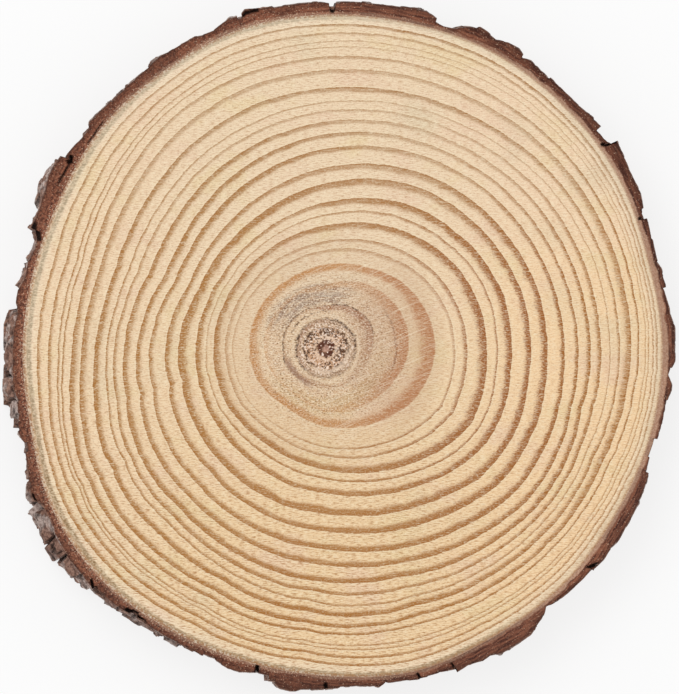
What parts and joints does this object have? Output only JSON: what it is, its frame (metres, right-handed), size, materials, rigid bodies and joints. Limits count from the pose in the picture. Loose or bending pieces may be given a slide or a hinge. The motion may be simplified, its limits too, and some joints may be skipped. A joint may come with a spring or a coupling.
{
  "type": "wood slice",
  "caption": "Round slice sawn across a pine log with its bark on: a flat cream disc with brown growth rings inside a rough ring of overlapping bark plates.",
  "frame": {"origin": "middle of the slice's box, on its lower sawn face, which it lies on", "axes": "+Z out of the upper sawn face, +Y towards the top of the picture, +X to its right"},
  "size_m": [0.2292, 0.2347, 0.025],
  "materials": {
    "wood": "raw sawn end grain, matt",
    "bark": "rough dry bark, matt"
  },
  "bodies": {
    "root": {"wood": "wood", "bark": "bark"}
  },
  "joints": []
}
